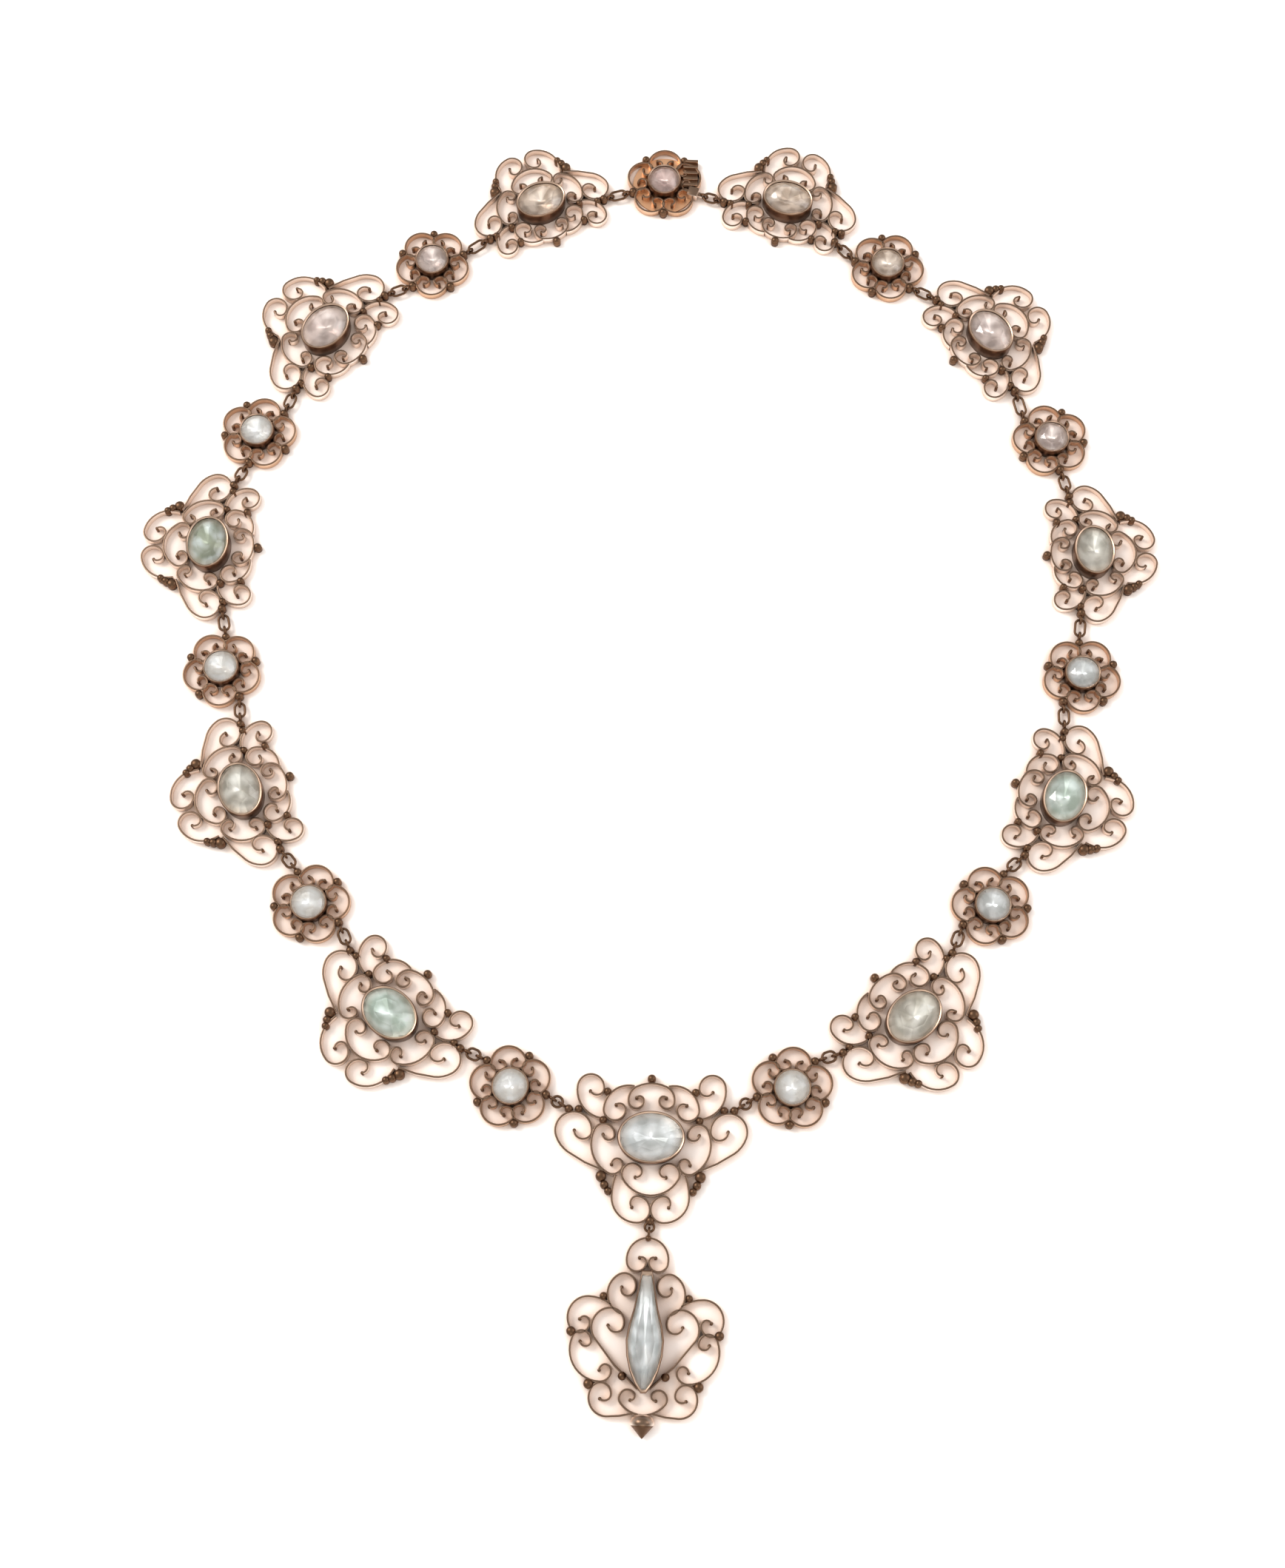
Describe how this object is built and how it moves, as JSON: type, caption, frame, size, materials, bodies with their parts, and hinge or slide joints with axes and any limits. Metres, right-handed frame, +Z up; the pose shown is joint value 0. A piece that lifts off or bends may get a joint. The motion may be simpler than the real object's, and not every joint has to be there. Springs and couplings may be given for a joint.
{
  "type": "aquamarine necklace",
  "caption": "Closed necklace of open gold scrollwork links and rosettes set with pale blue-green stones, with a scrolled drop pendant, laid flat.",
  "frame": {"origin": "centre of the necklace's footprint, on the surface that it lies on", "axes": "+X across the necklace to the right, +Y from the pendant towards the clasp, +Z up"},
  "size_m": [0.1449, 0.1866, 0.0035],
  "materials": {
    "rose_gold": "aged rose gold, soft polish with darker recesses",
    "aquamarine": "cut and polished pale aquamarine"
  },
  "bodies": {
    "root": {"clasp_rosette": "rose_gold", "clasp_tongue": "rose_gold", "left_link_5": "rose_gold", "left_rosette_5": "rose_gold", "left_link_4": "rose_gold", "left_rosette_4": "rose_gold", "left_link_3": "rose_gold", "left_rosette_3": "rose_gold", "left_link_2": "rose_gold", "left_rosette_2": "rose_gold", "left_link_1": "rose_gold", "left_rosette_1": "rose_gold", "centre_link": "rose_gold", "right_rosette_1": "rose_gold", "right_link_1": "rose_gold", "right_rosette_2": "rose_gold", "right_link_2": "rose_gold", "right_rosette_3": "rose_gold", "right_link_3": "rose_gold", "right_rosette_4": "rose_gold", "right_link_4": "rose_gold", "right_rosette_5": "rose_gold", "right_link_5": "rose_gold", "pendant_frame": "rose_gold", "left_link_5_stone": "aquamarine", "left_link_4_stone": "aquamarine", "left_link_3_stone": "aquamarine", "left_link_2_stone": "aquamarine", "left_link_1_stone": "aquamarine", "centre_stone": "aquamarine", "right_link_1_stone": "aquamarine", "right_link_2_stone": "aquamarine", "right_link_3_stone": "aquamarine", "right_link_4_stone": "aquamarine", "right_link_5_stone": "aquamarine", "pendant_stone": "aquamarine", "rosette_stones": "aquamarine", "jump_rings": "rose_gold"}
  },
  "joints": []
}
